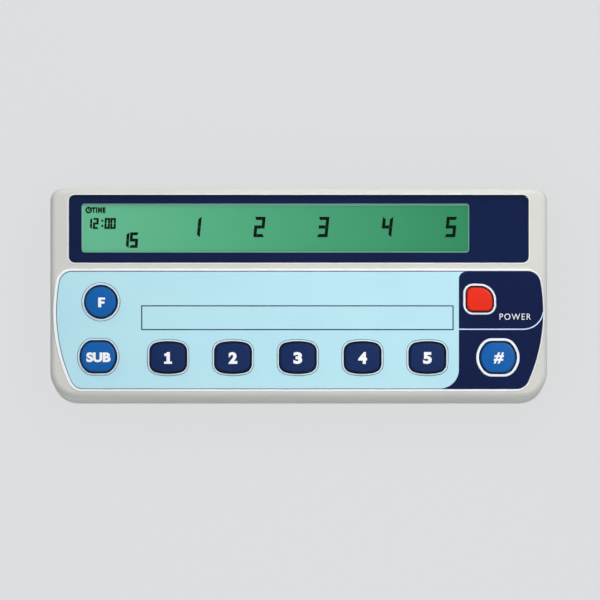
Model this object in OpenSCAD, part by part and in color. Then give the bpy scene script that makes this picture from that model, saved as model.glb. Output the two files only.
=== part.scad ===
// Differential cell counter: a wedge-shaped desk case with a display window and a graphic
// overlay on its sloped face, nine push keys on a rubber dome mat, and a battery bay below.
// X runs along the row of keys, Y to the back, Z up; the origin is the middle of the footprint.
// The face has its own frame: u along X, v up the slope, w out of the face.

/* [Case] */
// Width of the case
case_w = 210; // [204:1:256]
// Depth of the case
case_d = 87.4; // [85:0.5:106]
// Height of the face over the desk, at the middle of the case
face_h = 29.5; // [29:0.5:36]
// Slope of the face, in degrees
face_tilt = 9; // [7:0.5:11]
// Gap between the desk and the underside
foot_show = 1.5; // [1:0.1:3]
// Height of the parting line over the desk
part_z = 12; // [10:0.5:14]
// Wall of both shells
wall = 2.2; // [1.8:0.1:2.7]
// Thickness of the plate behind the face
plate_t = 2.8; // [2.6:0.1:3.4]
// Radius of the two front corners in plan
front_r = 11; // [8:0.5:14]
// Radius of the two rear corners in plan
rear_r = 5; // [4.5:0.5:7]
// Radius of the rolled edge round the face
roll_r = 2.5; // [1.5:0.1:3]
// Radius of the edge round the underside
base_r = 1.5; // [0.8:0.1:2]
// Chamfer of both shells at the parting line
seam = 0.3; // [0.1:0.05:0.5]

/* [Window] */
// Margin from the case side to the window
win_side = 7.9; // [7.7:0.1:12]
// Margin from the inside of the rear wall to the window
win_rear = 0.92; // [0.5:0.01:1.2]
// Depth of the window, up the slope
win_d = 28.5; // [28:0.1:29.5]
// Corner radius of the window
win_r = 2.5; // [1:0.1:5]
// Width of the bead round the window
bead_w = 0.5; // [0.3:0.05:0.8]
// Height of the bead over the face
bead_h = 0.12; // [0.05:0.01:0.3]
// Thickness of the window lens
lens_t = 1.5; // [1:0.1:1.8]
// Thickness of the printed mask behind the lens
mask_t = 0.15; // [0.1:0.05:0.25]
// Width of the visible part of the display
lcd_w = 163.8; // [120:0.1:166]
// Depth of the visible part of the display
lcd_d = 20.7; // [18:0.1:21.5]
// Margin from the window's left edge to the visible display
lcd_in = 5.37; // [4.8:0.01:8]

/* [Overlay] */
// Strip of case between the window and the overlay
strip_d = 3.63; // [3.5:0.01:5]
// Margin from the case side to the widest part of the overlay
ovl_side = 2.3; // [2.1:0.1:5]
// How far the overlay lies right of the case's middle
ovl_shift = 0.45; // [0:0.05:0.5]
// Margin from the front edge of the face to the overlay
ovl_front = 3.54; // [3.3:0.01:6]
// Radius of the overlay's bowed sides
ovl_bow_r = 71.8; // [60:0.1:90]
// Distance from the overlay's rear edge to its widest part
ovl_bow_v = 17.2; // [14:0.1:20]
// Corner radius of the overlay
ovl_r = 5.5; // [3:0.1:8]
// Thickness of the overlay film
ovl_t = 0.25; // [0.15:0.05:0.5]
// Width of the raised lip round the overlay
lip_w = 1.25; // [0.9:0.05:1.4]
// Height of the lip over the rest of the face
lip_h = 0.35; // [0.2:0.05:0.6]

/* [Keys] */
// Distance between neighbouring number keys
key_pitch = 27.35; // [26:0.05:28]
// Width of a number key
key_w = 15; // [12:0.1:19]
// Depth of a number key
key_d = 12.85; // [11:0.05:15]
// Radius of the bowed ends of a number key
key_bow_r = 22; // [16:0.5:40]
// Corner radius of a number key
key_r = 3.3; // [2:0.1:5]
// Diameter of the round function key
round_d = 13.4; // [12:0.1:16]
// Width of the two flattened round keys
oval_w = 15.05; // [13:0.05:16.5]
// Depth of the two flattened round keys
oval_d = 13; // [12:0.1:15]
// Radius that joins their flats to their sides
oval_r = 4; // [2:0.1:5]
// Width of the power key
power_w = 11.1; // [9:0.1:12.5]
// Depth of the power key
power_d = 10.35; // [9:0.05:12]
// Height of a key over the overlay
key_proud = 1.5; // [1:0.1:3]
// Travel of a key
key_travel = 1.2; // [0.6:0.1:1.4]
// Gap between a key and its collar
key_gap = 0.45; // [0.15:0.05:0.55]
// Height of the collar round a key over the overlay
collar_h = 0.3; // [0.1:0.05:0.6]

/* [Inside] */
// Depth of the boards' top faces below the face
board_depth = 8.5; // [8.2:0.1:9]
// Thickness of the circuit boards
board_t = 1.6; // [1:0.1:1.7]
// Thickness of the battery door
door_t = 2; // [1.6:0.1:2.4]
// Travel of the battery door before it lifts off
door_travel = 6; // [4:0.5:8]
// Diameter of a battery cell
cell_d = 14.5; // [13.5:0.1:14.7]
// Length of a battery cell, with its button
cell_l = 50.5; // [44:0.5:51]
// Radius of a case screw
screw_r = 1.3; // [1:0.05:1.5]
// Outer radius of a screw boss
boss_r = 2.9; // [2.5:0.1:3.2]

/* [Hidden] */

$fn = 48;
eps = 0.01;                      // overlap between unioned solids
fit = 0.15;                      // gap round a piece that is laid in a pocket
sink = 0.6;                      // how far a boss or rib runs into the plate that carries it

// Face frame: v of a point at world y and face height w, and world z of the face at world y.
function v_at(y, w) = (y + w * sin(face_tilt)) / cos(face_tilt);
function face_z(y, depth) = face_h + y * tan(face_tilt) - depth / cos(face_tilt);

// Points on an arc about c, from angle a to angle b.
function arc(c, r, a, b, n) = [for (i = [0:n]) c + r * [cos(a + (b - a) * i / n),
                                                        sin(a + (b - a) * i / n)]];
function flip_x(pts) = [for (i = [len(pts) - 1:-1:0]) [-pts[i].x, pts[i].y]];

// Plan corners of the case: centre x, centre y, radius.
corners = [[case_w / 2 - front_r, front_r - case_d / 2, front_r],
           [case_w / 2 - rear_r, case_d / 2 - rear_r, rear_r],
           [rear_r - case_w / 2, case_d / 2 - rear_r, rear_r],
           [front_r - case_w / 2, front_r - case_d / 2, front_r]];
function plan_pts(inset) = [for (i = [0:3])
    for (p = arc([corners[i].x, corners[i].y], corners[i].z - inset, i * 90 - 90, i * 90, 10)) p];

// Window, display and overlay, in face coordinates.
win_w = case_w - 2 * win_side;
win_v1 = v_at(case_d / 2, 0) - wall - win_rear;
win_v0 = win_v1 - win_d;
win_v = (win_v0 + win_v1) / 2;
lens_w = -lip_h;                 // height of the lens's outer face
mask_w = lens_w - lens_t;        // height of the mask's outer face
lcd_u = lcd_in + (lcd_w - win_w) / 2;
lcd_v = win_v + 0.4;
ovl_w = case_w - 2 * ovl_side;
ovl_v1 = win_v0 - strip_d;
ovl_v0 = v_at(-case_d / 2, 0) + ovl_front;
bow_v = ovl_v1 - ovl_bow_v;
bow_u = ovl_w / 2 - ovl_bow_r;

// Overlay outline, grown by g: two bowed sides, straight ends and four tangent corners.
function ovl_corner(v) = [bow_u + sqrt(pow(ovl_bow_r - ovl_r, 2) - pow(v - bow_v, 2)), v];
function ovl_angle(c) = atan2(c.y - bow_v, c.x - bow_u);
function ovl_half(g) = let (lo = ovl_corner(ovl_v0 + ovl_r), hi = ovl_corner(ovl_v1 - ovl_r))
    concat(arc(lo, ovl_r + g, -90, ovl_angle(lo), 8),
           arc([bow_u, bow_v], ovl_bow_r + g, ovl_angle(lo), ovl_angle(hi), 14),
           arc(hi, ovl_r + g, ovl_angle(hi), 90, 8));
function ovl_pts(g) = concat(ovl_half(g), flip_x(ovl_half(g)));

// Round-cornered rectangle, and the barrel of a number key with two bowed ends.
function rect_pts(w, d, r) = let (x = w / 2 - r, y = d / 2 - r)
    concat(arc([x, -y], r, -90, 0, 6), arc([x, y], r, 0, 90, 6),
           arc([-x, y], r, 90, 180, 6), arc([-x, -y], r, 180, 270, 6));
function barrel_pts(g) = let (x = key_w / 2 - key_r, b = key_bow_r - key_d / 2,
        y = sqrt(pow(key_bow_r - key_r, 2) - x * x) - b, a = atan2(y + b, x),
        end = concat(arc([x, y], key_r + g, 0, a, 6), arc([0, -b], key_bow_r + g, a, 180 - a, 8),
                     arc([-x, y], key_r + g, 180 - a, 180, 6)))
    concat(end, [for (p = end) -p]);
// Flattened round key: a circle with two flats and a radius between flat and side.
function oval_pts(g) = let (y = oval_d / 2 - oval_r, x = sqrt(pow(oval_w / 2 - oval_r, 2) - y * y),
        a = atan2(y, x),
        half = concat(arc([0, 0], oval_w / 2 + g, -a, a, 10), arc([x, y], oval_r + g, a, 90, 5),
                      arc([-x, y], oval_r + g, 90, 180 - a, 5)))
    concat(half, [for (p = half) -p]);
// Power key: three tight corners and one wide one at the rear right.
power_r = 2.6;
power_wide_r = 5.6;
function power_pts(g) = let (x = power_w / 2, y = power_d / 2, r = power_r, q = power_wide_r)
    concat(arc([x - r, r - y], r + g, -90, 0, 6), arc([x - q, y - q], q + g, 0, 90, 10),
           arc([r - x, y - r], r + g, 90, 180, 6), arc([r - x, r - y], r + g, 180, 270, 6));

// Keys: place on the face, shape, and width of the white collar round the key.
number_v = ovl_v0 + 13.25;
function number_u(i) = (i - 3) * key_pitch - 0.4;
f_at = [21.5 - case_w / 2, ovl_v1 - 12.95];
sub_at = [20.4 - case_w / 2, ovl_v0 + 13.6];
power_at = [case_w / 2 - 28.6, ovl_v1 - 11.8];
hash_at = [case_w / 2 - 20.9, ovl_v0 + 13.3];
KEYS = concat([[f_at, "round", 1.25], [sub_at, "oval", 1.15]],
    [for (i = [1:5]) [[number_u(i), number_v], "barrel", 1.1]],
    [[hash_at, "oval", 1.55], [power_at, "power", 1.3]]);
flange_w = 1;                    // how far a key's flange reaches past its cap
flange_t = 0.9;
flange_top = -plate_t - 0.1;
cap_wall = 1.2;
bevel = 0.7;
crown_r = 80;                    // radius of the key's domed top
dome_top = -board_depth + 3.6;
stem_r = 2.4;

// Boards and what is on them.
board_bottom = -board_depth - board_t;
key_board_w = case_w - 26;
key_board_v0 = ovl_v0 + 3.3;
key_board_v1 = ovl_v1 - 4.6;
display_board_w = case_w - 22;
display_board_v0 = win_v0 - 4.1;
display_board_v1 = v_at(case_d / 2 - wall, board_bottom) - 0.3;
mat_t = 1;
mat_v1 = key_board_v1 - 2.6;
board_screw_r = 1;
board_boss_r = 2.1;
stud_gap = 0.05;                 // gap between a screw and the bore it is driven into
display_boss_v = display_board_v0 + 2.4;
KEY_BOSSES = [[number_u(0.5) + 0.1, number_v + 12], [number_u(2.5), number_v + 19],
              [number_u(4.5), number_v + 19], [number_u(5.5), number_v + 7.5]];
DISPLAY_BOSSES = [[-0.36 * win_w, display_boss_v], [0.36 * win_w, display_boss_v],
                  [win_w / 2 - 6, win_v + 4]];

// Display stack below the face.
glass_t = 1.1;
glass_w = lcd_w + 4.4;
glass_d = lcd_d + 3.3;
glass_top = -plate_t - 0.2;
guide_top = glass_top - 2 * glass_t - 0.1;
guide_t = board_depth + guide_top - 0.1;
frame_wall = 0.75;
strip_w = 1.6;

// Case screws, lip of the bottom shell, and feet.
tongue_t = 1;
tongue_h = 1.5;
pilot_r = screw_r + stud_gap;
head_r = 2.5;
post_r = 3.9;
post_z = 10;                     // where the top shell's bosses meet the bottom shell's posts
shelf_t = 2.5;
function boss_in(r) = let (k = wall + fit + tongue_t + 0.25 + boss_r) max(k, r - (r - k) / sqrt(2));
SCREWS = [for (sx = [-1, 1]) for (r = [-front_r, rear_r])
    [sx * (case_w / 2 - boss_in(abs(r))), sign(r) * (case_d / 2 - boss_in(abs(r)))]];
foot_r = 6;
foot_pocket = 0.8;
FEET = [for (sx = [-1, 1]) for (sy = [-1, 1]) [sx * (case_w / 2 - 19), sy * (case_d / 2 - 13)]];

// Battery bay: two rows of two cells, end to end, closed from below by the door.
floor_z = foot_show + wall;
bay_wall = 1.2;
contact_t = 0.4;
spring_l = 7.6;
button_l = 1;
bay_w = 2 * cell_l + 2 * contact_t + spring_l + button_l;
bay_y1 = case_d / 2 - wall - 0.25 - bay_wall;
row_pitch = cell_d + 0.6;
bay_d = row_pitch + cell_d + 0.8;
bay_y0 = bay_y1 - bay_d;
cell_z = foot_show + door_t + 0.5 + cell_d / 2;
bay_roof = cell_z + cell_d / 2 + 0.4;
function row_y(row) = bay_y1 - 0.4 - cell_d / 2 - row * row_pitch;
door_gap = 0.2;
door_w = bay_w - 2 * door_gap;
tab_l = 8;
tab_t = 1;
TABS = [bay_y0 + 4, bay_y0 + 18];
contact_w = 11;
contact_z0 = floor_z + 1.6;
contact_z1 = bay_roof - 1;
tail_z = cell_z + 4;

module on_face(at = [0, 0], w = 0) {
    translate([0, 0, face_h])
        rotate([face_tilt, 0, 0])
            translate([at.x, at.y, w])
                children();
}

// Torus at a plan corner: in the face plane, or lying flat at height z.
module edge_ring(r, e) {
    rotate_extrude($fn = 40)
        translate([r - e, 0])
            circle(e, $fn = 20);
}

module upper_form(inset, depth, e, chamfer) {
    hull()
        for (c = corners) {
            translate([c.x, c.y, part_z - (inset > 0 ? eps : 0)])
                cylinder(r1 = c.z - inset - chamfer, r2 = c.z - inset, h = max(chamfer, eps),
                         $fn = 40);
            translate([c.x, c.y, face_z(c.y, depth + e)])
                rotate([face_tilt, 0, 0])
                    edge_ring(c.z - inset, e);
        }
}

module lower_form(inset, z, e, chamfer) {
    hull()
        for (c = corners) {
            translate([c.x, c.y, part_z - (inset > 0 ? 0 : max(chamfer, eps))])
                cylinder(r1 = c.z - inset, r2 = c.z - inset - chamfer, h = max(chamfer, eps),
                         $fn = 40);
            translate([c.x, c.y, z + e])
                edge_ring(c.z - inset, e);
        }
}

module key_outline(shape, g) {
    if (shape == "round")
        circle(round_d / 2 + g);
    if (shape == "oval")
        polygon(oval_pts(g));
    if (shape == "barrel")
        polygon(barrel_pts(g));
    if (shape == "power")
        polygon(power_pts(g));
}

// A plate on the face with its rear edge at v1 and its front edge at v0.
module face_slab(u, w, v0, v1, top, t) {
    on_face([u - w / 2, v0], top - t)
        cube([w, v1 - v0, t]);
}

module top_case() {
    color([0.88, 0.87, 0.85])
    difference() {
        union() {
            difference() {
                upper_form(0, lip_h, roll_r, seam);
                upper_form(wall, plate_t, 0.8, 0);
            }
            // raised lip that frames the overlay
            on_face(w = -plate_t + 0.2)
                linear_extrude(plate_t - 0.2)
                    polygon(ovl_pts(lip_w));
            // bead round the window
            on_face([0, win_v], -plate_t + 0.2)
                linear_extrude(plate_t - 0.2 - lip_h + bead_h)
                    polygon(rect_pts(win_w + 2 * (fit + bead_w), win_d + 2 * (fit + bead_w),
                                     win_r + fit + bead_w));
            // collars that stand round the keys
            for (k = KEYS)
                on_face(k[0], -plate_t)
                    linear_extrude(plate_t + collar_h)
                        key_outline(k[1], k[2]);
            for (p = SCREWS)
                translate([p.x, p.y, post_z + fit])
                    cylinder(r = boss_r, h = face_z(p.y, plate_t) + sink - post_z - fit);
            for (p = concat(KEY_BOSSES, DISPLAY_BOSSES))
                on_face(p, -board_depth)
                    cylinder(r = board_boss_r, h = board_depth - plate_t + sink);
            // stiffening ribs across the plate, either side of the flat cable
            for (sx = [-1, 1])
                on_face([sx * (win_w / 4 + 6), ovl_v1 + 0.8], -plate_t - 3)
                    translate([-win_w / 6, -0.6, 0])
                        cube([win_w / 3, 1.2, 3 + sink]);
        }
        // pocket for the overlay, left standing as rings round the keys
        on_face(w = -ovl_t)
            linear_extrude(ovl_t + eps)
                difference() {
                    translate([ovl_shift, 0])
                        polygon(ovl_pts(fit));
                    for (k = KEYS)
                        translate(k[0])
                            key_outline(k[1], k[2]);
                }
        for (k = KEYS)
            on_face(k[0], -plate_t - 1)
                linear_extrude(plate_t + 2)
                    key_outline(k[1], key_gap);
        // pocket for the lens and its mask, and the display opening behind them
        on_face([0, win_v], mask_w - mask_t)
            linear_extrude(lens_t + mask_t + 1)
                polygon(rect_pts(win_w + 2 * fit, win_d + 2 * fit, win_r + fit));
        on_face([lcd_u, lcd_v], -plate_t - 1)
            linear_extrude(plate_t)
                polygon(rect_pts(lcd_w + 1.6, lcd_d + 1.4, 1.5));
        for (p = SCREWS)
            translate([p.x, p.y, post_z])
                cylinder(r = pilot_r, h = 9);
        for (p = concat(KEY_BOSSES, DISPLAY_BOSSES))
            on_face(p, -board_depth - eps)
                cylinder(r = board_screw_r + stud_gap, h = 4.6);
    }
}

module bottom_case() {
    color([0.84, 0.83, 0.81])
    difference() {
        union() {
            difference() {
                lower_form(0, foot_show, base_r, seam);
                lower_form(wall, floor_z, 0.6, 0);
            }
            // tongue that locates the top shell
            translate([0, 0, part_z - 2])
                linear_extrude(2)
                    difference() {
                        polygon(plan_pts(wall - 0.4));
                        polygon(plan_pts(wall + fit + tongue_t));
                    }
            translate([0, 0, part_z - eps])
                linear_extrude(tongue_h + eps)
                    difference() {
                        polygon(plan_pts(wall + fit));
                        polygon(plan_pts(wall + fit + tongue_t));
                    }
            // battery bay, and the filling between it and the rear wall
            translate([-bay_w / 2 - bay_wall, bay_y0 - bay_wall, foot_show + 0.5])
                cube([bay_w + 2 * bay_wall, bay_d + 2 * bay_wall,
                      bay_roof + bay_wall - foot_show - 0.5]);
            translate([-bay_w / 2 - bay_wall, bay_y1 + eps, foot_show + 0.5])
                cube([bay_w + 2 * bay_wall, case_d / 2 - bay_y1 - wall / 2,
                      part_z - foot_show - 0.5]);
            for (p = SCREWS)
                translate([p.x, p.y, foot_show + 0.5])
                    cylinder(r = post_r, h = post_z - foot_show - 0.5);
            // floor ribs in front of the bay
            for (x = [-60, -20, 20, 60])
                translate([x - 0.6, wall / 2 - case_d / 2, floor_z - 0.5])
                    cube([1.2, case_d / 2 - wall / 2 + bay_y0 - bay_wall / 2, 3]);
        }
        // inside of the bay, open below, and the way of the sliding door
        translate([-bay_w / 2, bay_y0, foot_show - 1])
            cube([bay_w, bay_d, bay_roof - foot_show + 1]);
        translate([-bay_w / 2, bay_y0, foot_show - 1])
            cube([bay_w, case_d, door_t + door_gap + 1]);
        for (y = TABS) {
            translate([-bay_w / 2 - bay_wall - 1, y - 0.3, floor_z])
                cube([bay_w + 2 * bay_wall + 2, tab_l + door_travel + 0.6, tab_t + 0.4]);
            translate([-bay_w / 2, y - 0.3, foot_show + door_t])
                cube([bay_w, tab_l + door_travel + 0.6, floor_z + tab_t - foot_show - door_t]);
        }
        // slots for the tails of the two terminals
        for (row = [0, 1])
            translate([-bay_w / 2 - 2, row_y(row) - 1.5, tail_z - 0.5])
                cube([3, 3, 1]);
        for (p = SCREWS) {
            translate([p.x, p.y, foot_show - 1])
                cylinder(r = head_r + 0.4, h = post_z - shelf_t - foot_show + 1);
            translate([p.x, p.y, foot_show])
                cylinder(r = screw_r + 0.3, h = post_z);
        }
        for (p = FEET)
            translate([p.x, p.y, foot_show - 1])
                cylinder(r = foot_r + 0.1, h = foot_pocket + 1);
    }
}

module battery_door() {
    color([0.84, 0.83, 0.81])
    difference() {
        union() {
            translate([-door_w / 2, bay_y0 + door_gap, foot_show])
                cube([door_w, case_d / 2 - bay_y0 - door_gap, door_t]);
            // hooks that run in the slots of the bay's side walls
            for (sx = [-1, 1])
                for (y = TABS) {
                    translate([sx * (door_w / 2 - 0.6) - 0.6, y, foot_show + door_t - eps])
                        cube([1.2, tab_l, floor_z - foot_show - door_t + door_gap + tab_t]);
                    translate([sx * (bay_w / 2 + 0.2) - 1.8, y, floor_z + door_gap])
                        cube([3.6, tab_l, tab_t]);
                }
        }
        // rounded outer edge, in line with the edge of the shell
        translate([0, case_d / 2 - base_r, foot_show + base_r])
            difference() {
                translate([-case_w / 2, 0, -base_r - 1])
                    cube([case_w, base_r + 1, base_r + 1]);
                rotate([0, 90, 0])
                    cylinder(r = base_r, h = case_w + 2, center = true);
            }
        // finger grip
        for (i = [0:5])
            translate([-9, case_d / 2 - 5 - i * 1.6, foot_show - eps])
                cube([18, 0.8, 0.5]);
    }
}

module keypad_overlay() {
    color([0.71, 0.88, 0.93])
    on_face(w = -ovl_t)
        linear_extrude(ovl_t)
            difference() {
                translate([ovl_shift, 0])
                    polygon(ovl_pts(0));
                for (k = KEYS)
                    translate(k[0])
                        key_outline(k[1], k[2] + fit);
            }
}

module window_lens() {
    color([0.11, 0.15, 0.27])
    on_face([0, win_v], mask_w)
        linear_extrude(lens_t)
            polygon(rect_pts(win_w, win_d, win_r));
}

module window_mask() {
    color([0.09, 0.12, 0.24])
    on_face([0, win_v], mask_w - mask_t)
        linear_extrude(mask_t)
            difference() {
                polygon(rect_pts(win_w - 0.4, win_d - 0.4, win_r));
                translate([lcd_u, lcd_v - win_v])
                    polygon(rect_pts(lcd_w, lcd_d, 1.3));
            }
}

// Two glass plates; the rear one carries the contacts along both long edges.
module lcd_panel() {
    color([0.29, 0.64, 0.48])
    union() {
        face_slab(lcd_u, glass_w, lcd_v - glass_d / 2 + 1.2, lcd_v + glass_d / 2 - 1.2,
                  glass_top, glass_t);
        face_slab(lcd_u, glass_w, lcd_v - glass_d / 2, lcd_v + glass_d / 2,
                  glass_top - glass_t + eps, glass_t + eps);
    }
}

module lcd_frame() {
    color([0.9, 0.9, 0.88])
    difference() {
        face_slab(lcd_u, glass_w + 2 * frame_wall + 0.2, lcd_v - glass_d / 2 - frame_wall - 0.1,
                  lcd_v + glass_d / 2 + frame_wall + 0.1, glass_top, board_depth + glass_top);
        face_slab(lcd_u, glass_w + 0.2, lcd_v - glass_d / 2 - 0.1, lcd_v + glass_d / 2 + 0.1,
                  glass_top + 1, board_depth + 2);
    }
}

module light_guide() {
    color([0.85, 0.95, 0.85])
    face_slab(lcd_u + 1, lcd_w, lcd_v - lcd_d / 2 + 2, lcd_v + lcd_d / 2 - 2, guide_top, guide_t);
}

module backlight_leds() {
    guide_end = lcd_u + 1 - lcd_w / 2;
    color([0.75, 0.9, 0.4]) {
        face_slab(guide_end - 1.6, 0.8, lcd_v - lcd_d / 2 + 2, lcd_v + lcd_d / 2 - 2,
                  guide_top, guide_t);
        for (i = [-1:1])
            face_slab(guide_end - 0.7, 1, lcd_v + i * 6 - 1.5, lcd_v + i * 6 + 1.5,
                      guide_top - 0.4, guide_t - 0.8);
    }
}

module connector_strips() {
    color([0.5, 0.5, 0.52])
    for (s = [-1, 1]) {
        mid = lcd_v + s * (glass_d / 2 - strip_w / 2 - 0.1);
        face_slab(lcd_u, lcd_w - 4, mid - strip_w / 2, mid + strip_w / 2,
                  glass_top - 2 * glass_t, board_depth + glass_top - 2 * glass_t);
    }
}

module display_board() {
    color([0.13, 0.42, 0.25])
    difference() {
        face_slab(0, display_board_w, display_board_v0, display_board_v1, -board_depth, board_t);
        for (p = DISPLAY_BOSSES)
            on_face(p, board_bottom - 1)
                cylinder(r = board_screw_r + 0.2, h = board_t + 2);
        // the rear corners clear the screw bosses of the case
        for (p = SCREWS)
            if (p.y > 0)
                translate([p.x, p.y, post_z])
                    cylinder(r = boss_r + 0.4, h = face_h);
    }
}

module key_board() {
    color([0.13, 0.42, 0.25])
    difference() {
        face_slab(0, key_board_w, key_board_v0, key_board_v1, -board_depth, board_t);
        for (p = KEY_BOSSES)
            on_face(p, board_bottom - 1)
                cylinder(r = board_screw_r + 0.2, h = board_t + 2);
    }
}

// Silicone sheet with a dome under each key: a cone on a thin skirt, hollow below.
module dome_mat() {
    color([0.75, 0.75, 0.77])
    difference() {
        union() {
            face_slab(0, key_board_w - 3, key_board_v0 + 1, mat_v1, mat_t - board_depth, mat_t);
            for (k = KEYS)
                on_face(k[0], mat_t - board_depth - eps)
                    rotate_extrude()
                        polygon([[0, 0], [5, 0], [3, 1.3], [2.8, dome_top + board_depth - mat_t],
                                 [0, dome_top + board_depth - mat_t]]);
        }
        for (k = KEYS)
            on_face(k[0], -board_depth - eps)
                rotate_extrude()
                    polygon([[0, 0], [4.2, 0], [4.2, 1], [2.4, 2.1], [0, 2.1]]);
        for (p = KEY_BOSSES)
            on_face(p, -board_depth - 1)
                cylinder(r = board_boss_r + 0.4, h = mat_t + 2);
    }
}

// Flat cable that bows up between the two boards.
module flex_cable() {
    v0 = key_board_v1 - 2.2;
    v1 = display_board_v0 + 2.2;
    bow = [for (i = [0:12]) [v0 + (v1 - v0) * i / 12,
        0.05 + 0.8 * (1 - cos(360 * i / 12)) / 2]];
    color([0.82, 0.6, 0.25])
    on_face([15, 0], -board_depth)
        rotate([90, 0, -90])
            linear_extrude(30)
                polygon(concat([for (p = bow) [-p.x, p.y]],
                    [for (i = [12:-1:0]) [-bow[i].x, bow[i].y + 0.3]]));
}

module chip(at, size, t, pins) {
    on_face(at, board_bottom - t) {
        translate([-size / 2, -size / 2, 0])
            cube([size, size, t - 0.1]);
        for (i = [0:pins - 1])
            for (s = [-1, 1])
                translate([s * (size / 2 + 0.5) - 0.55, (i + 0.5) * (size - 1) / pins
                           - size / 2 + 0.3, t - 0.35])
                    cube([1.1, 0.4, 0.3]);
    }
}

module controller_chip() {
    color([0.12, 0.12, 0.13])
    chip([number_u(3.5), number_v + 12], 12, 1.6, 8);
}

module display_driver() {
    color([0.12, 0.12, 0.13])
    chip([win_w / 2 - 20, win_v], 9, 1.3, 6);
}

module board_capacitors() {
    color([0.2, 0.22, 0.3])
    for (i = [0, 1])
        on_face([number_u(1.5) - 5 + i * 9, number_v + 12], board_bottom - 7.05)
            cylinder(r = 3.15, h = 7);
}

module buzzer() {
    color([0.1, 0.1, 0.1])
    on_face([number_u(4.5), number_v + 8], board_bottom - 5.55)
        difference() {
            cylinder(r = 6, h = 5.5);
            translate([0, 0, -1])
                cylinder(r = 1, h = 2);
        }
}

// Key: a hollow cap with a domed top, a flange that stops it under the plate, and a stem
// that stands on its dome.
module key_cap(n) {
    shape = KEYS[n][1];
    top = key_proud;
    on_face(KEYS[n][0]) {
        difference() {
            union() {
                intersection() {
                    hull() {
                        translate([0, 0, flange_top - flange_t])
                            linear_extrude(top - bevel - flange_top + flange_t)
                                key_outline(shape, 0);
                        linear_extrude(top)
                            key_outline(shape, -bevel);
                    }
                    translate([0, 0, top - crown_r])
                        sphere(crown_r, $fn = 240);
                }
                translate([0, 0, flange_top - flange_t])
                    linear_extrude(flange_t)
                        key_outline(shape, flange_w);
            }
            translate([0, 0, flange_top - flange_t - 1])
                linear_extrude(top - cap_wall - flange_top + flange_t + 1)
                    key_outline(shape, -cap_wall);
        }
        translate([0, 0, dome_top + 0.05])
            cylinder(r = stem_r, h = top - cap_wall - dome_top);
    }
}

module blue_key(n) {
    color([0.13, 0.37, 0.69])
    key_cap(n);
}

module navy_key(n) {
    color([0.12, 0.17, 0.38])
    key_cap(n);
}

module red_key(n) {
    color([0.88, 0.2, 0.15])
    key_cap(n);
}

// Cells lie end to end; the rows point opposite ways, each pressed by a spring at one end.
module battery(row, place) {
    way = row == 0 ? 1 : -1;
    shift = bay_w / 2 - contact_t - button_l - cell_l;
    color([0.2, 0.35, 0.25])
    translate([way * (shift + (place - 1) * cell_l), row_y(row), cell_z])
        rotate([0, way * 90, 0])
            rotate_extrude()
                polygon([[0, 0.02], [cell_d / 2 - 1, 0.02], [cell_d / 2, 1],
                         [cell_d / 2, cell_l - 2], [cell_d / 2 - 1, cell_l - 1],
                         [2.75, cell_l - 1], [2.75, cell_l - 0.02], [0, cell_l - 0.02]]);
}

// Sheet-metal end plate of a row, with a raised button where it meets a cell's own button.
module contact(side, row, button) {
    translate([side > 0 ? bay_w / 2 - contact_t : -bay_w / 2, row_y(row) - contact_w / 2,
               contact_z0])
        cube([contact_t, contact_w, contact_z1 - contact_z0]);
    if (button)
        translate([side * (bay_w / 2 - contact_t), row_y(row), cell_z])
            rotate([0, -side * 90, 0])
                cylinder(r1 = 3, r2 = 1.8, h = button_l - 0.03);
}

module terminal_contacts() {
    color([0.8, 0.8, 0.78])
    for (row = [0, 1]) {
        contact(-1, row, row == 1);
        translate([-bay_w / 2 - 2.2, row_y(row) - 1.2, tail_z - 0.2])
            cube([2.4, 2.4, contact_t]);
    }
}

module bridge_contact() {
    color([0.8, 0.8, 0.78])
    union() {
        contact(1, 0, true);
        contact(1, 1, false);
        translate([bay_w / 2 - contact_t, row_y(1), cell_z - 3])
            cube([contact_t, row_pitch, 6]);
    }
}

// Round wire of diameter d swept along a route, six-sided, with mitred joints.
function unit(p) = p / norm(p);
function along(pts, i) = unit(pts[min(i + 1, len(pts) - 1)] - pts[max(i - 1, 0)]);
function ring(p, t, r, up) = let (a = unit(cross(t, up)), b = cross(a, t))
    [for (k = [0:5]) p + r * (cos(60 * k) * a + sin(60 * k) * b)];
module wire(pts, d, up) {
    n = len(pts);
    skin = [for (i = [0:n - 2]) for (k = [0:5])
        [i * 6 + k, i * 6 + (k + 1) % 6, i * 6 + 6 + (k + 1) % 6, i * 6 + 6 + k]];
    ends = [[5, 4, 3, 2, 1, 0], [for (k = [0:5]) (n - 1) * 6 + k]];
    polyhedron([for (i = [0:n - 1]) each ring(pts[i], along(pts, i), d / 2, up)],
               concat(skin, ends));
}

// Conical coil springs between the flat end plates and the cells' flat ends.
module battery_springs() {
    turns = 4;
    steps = 14;
    wire_d = 0.9;
    length = spring_l - wire_d - 0.1;
    color([0.85, 0.85, 0.84])
    for (row = [0, 1]) {
        way = row == 0 ? 1 : -1;
        wire([for (i = [0:turns * steps]) let (f = i / (turns * steps), r = 5.2 - 2 * f)
            [way * (wire_d / 2 + 0.05 + contact_t + length * f - bay_w / 2),
             row_y(row) + r * cos(360 * i / steps), cell_z + r * sin(360 * i / steps)]],
            wire_d, [1, 0, 0]);
    }
}

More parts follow.
